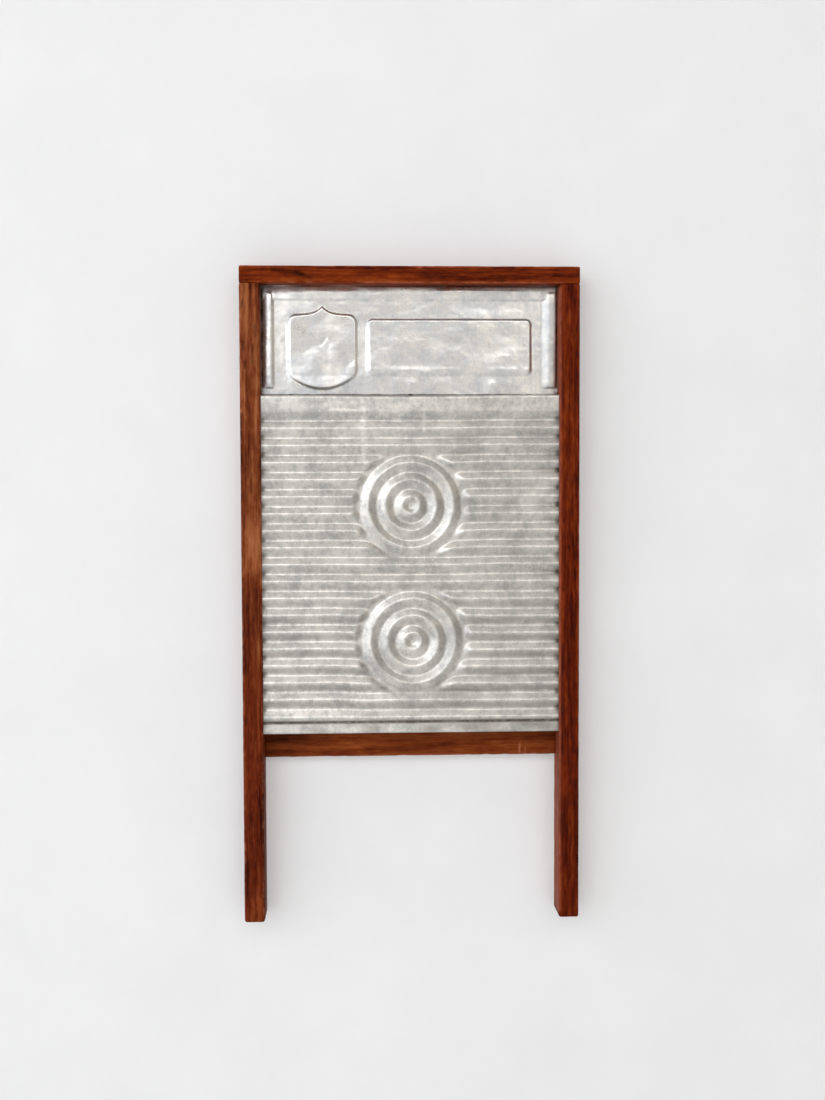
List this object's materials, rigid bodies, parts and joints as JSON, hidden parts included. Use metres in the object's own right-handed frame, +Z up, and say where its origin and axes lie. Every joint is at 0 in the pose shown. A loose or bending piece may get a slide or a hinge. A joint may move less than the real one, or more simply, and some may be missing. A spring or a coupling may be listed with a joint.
{
  "type": "washboard",
  "caption": "Family-size laundry washboard: varnished wooden frame with legs, embossed aluminium head above a soap ledge, and a corrugated aluminium rubbing sheet with ringed medallions.",
  "frame": {"origin": "on the ground midway between the feet, halfway through the frame's thickness", "axes": "+X across the board to its right as seen from the front, +Y from the rubbing face to the back, +Z up"},
  "size_m": [0.3144, 0.0318, 0.6096],
  "materials": {
    "stile_wood": "worn satin varnish over red-brown hardwood",
    "rail_wood": "worn satin varnish over red-brown hardwood",
    "hidden_wood": "bare, dry softwood",
    "head_aluminium": "dented, dull satin",
    "rub_aluminium": "worn, soft satin",
    "nail_steel": "dark, dull"
  },
  "bodies": {
    "root": {"left_stile": "stile_wood", "right_stile": "stile_wood", "top_rail": "rail_wood", "bottom_rail": "rail_wood", "foot_rail": "hidden_wood", "ledge_rail": "hidden_wood", "head_board": "hidden_wood", "upper_back_slat": "hidden_wood", "middle_back_slat": "hidden_wood", "lower_back_slat": "hidden_wood", "head_sheet": "head_aluminium", "rub_sheet": "rub_aluminium", "top_rail_nails": "nail_steel", "bottom_rail_nails": "nail_steel", "ledge_rail_nails": "nail_steel", "back_slat_nails": "nail_steel", "foot_rail_nails": "nail_steel", "ledge_tacks": "nail_steel"}
  },
  "joints": []
}
